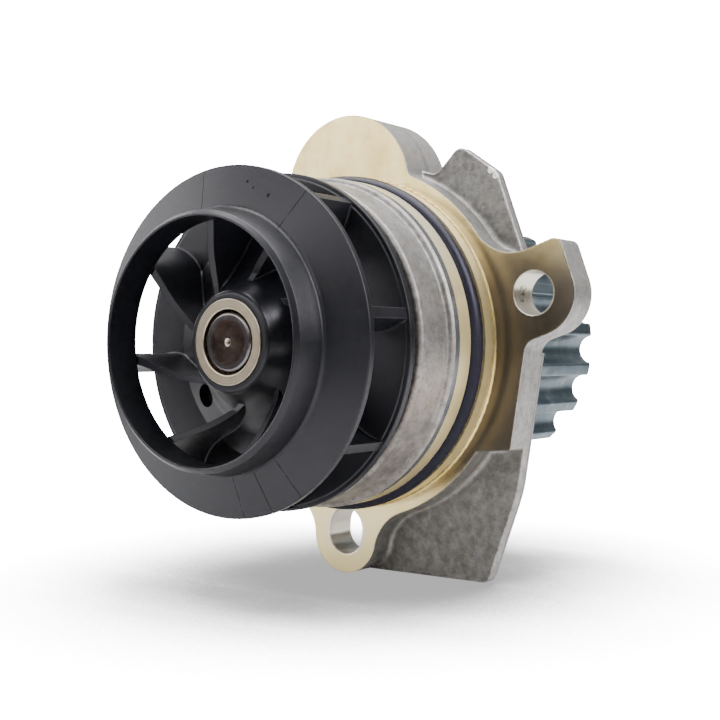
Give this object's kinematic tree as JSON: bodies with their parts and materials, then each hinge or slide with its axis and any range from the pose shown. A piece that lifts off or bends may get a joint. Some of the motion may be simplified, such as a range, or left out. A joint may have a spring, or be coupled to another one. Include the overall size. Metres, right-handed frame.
{
  "type": "engine coolant pump",
  "caption": "Belt-driven engine coolant pump: cast flanged housing with sealed spigot, closed bladed impeller on a shaft bearing, toothed pulley behind.",
  "frame": {"origin": "on the shaft axis, in the plane of the machined flange face that seats on the engine block", "axes": "-Y along the shaft towards the impeller, out of the flange face; +Y towards the belt pulley; +Z towards the blind round boss; +X towards the ear with the round hole"},
  "size_m": [0.0926, 0.1027, 0.0957],
  "materials": {
    "cast_aluminium": "die-cast, with machined seats",
    "o_ring_rubber": "satin",
    "seal_rubber": "matte",
    "bearing_steel": "ground",
    "pressed_steel": "pressed sheet",
    "spring_steel": "drawn wire",
    "carbon": "lapped carbon",
    "shaft_steel": "ground and polished",
    "impeller_plastic": "moulded, glass-filled",
    "bush_metal": "turned",
    "ceramic": "lapped ceramic",
    "zinc_plated_steel": "blue zinc plate",
    "cage_plastic": "moulded"
  },
  "bodies": {
    "housing": {"pump_housing": "cast_aluminium", "spigot_o_ring": "o_ring_rubber", "bearing_outer_sleeve": "bearing_steel", "bearing_front_seal": "seal_rubber", "bearing_rear_seal": "seal_rubber", "seal_cup": "pressed_steel", "seal_bellows": "seal_rubber", "seal_spring": "spring_steel", "seal_drive_band": "pressed_steel", "seal_carbon_ring": "carbon"},
    "rotor": {"pump_shaft": "shaft_steel", "impeller_back_plate": "impeller_plastic", "impeller_front_shroud": "impeller_plastic", "impeller_bush": "bush_metal", "seal_shaft_sleeve": "pressed_steel", "seal_mating_ring": "ceramic", "mating_ring_boot": "seal_rubber", "water_slinger": "seal_rubber", "timing_belt_pulley": "zinc_plated_steel"},
    "ball_row": {"ball_cage": "cage_plastic", "bearing_balls": "bearing_steel"},
    "roller_row": {"roller_cage": "cage_plastic", "bearing_rollers": "bearing_steel"}
  },
  "joints": [
    {"name": "rotor_spin", "type": "hinge", "parent": "housing", "child": "rotor", "pos_m": [0, 0, 0], "axis": [0, 1, 0], "continuous": true},
    {"name": "ball_row_spin", "type": "hinge", "parent": "housing", "child": "ball_row", "pos_m": [0, 0.022, 0], "axis": [0, 1, 0], "continuous": true},
    {"name": "roller_row_spin", "type": "hinge", "parent": "housing", "child": "roller_row", "pos_m": [0, 0.0345, 0], "axis": [0, 1, 0], "continuous": true}
  ],
  "couplings": [
    {"joint": "ball_row_spin", "follows": "rotor_spin", "ratio": 0.3658},
    {"joint": "roller_row_spin", "follows": "rotor_spin", "ratio": 0.3935}
  ]
}
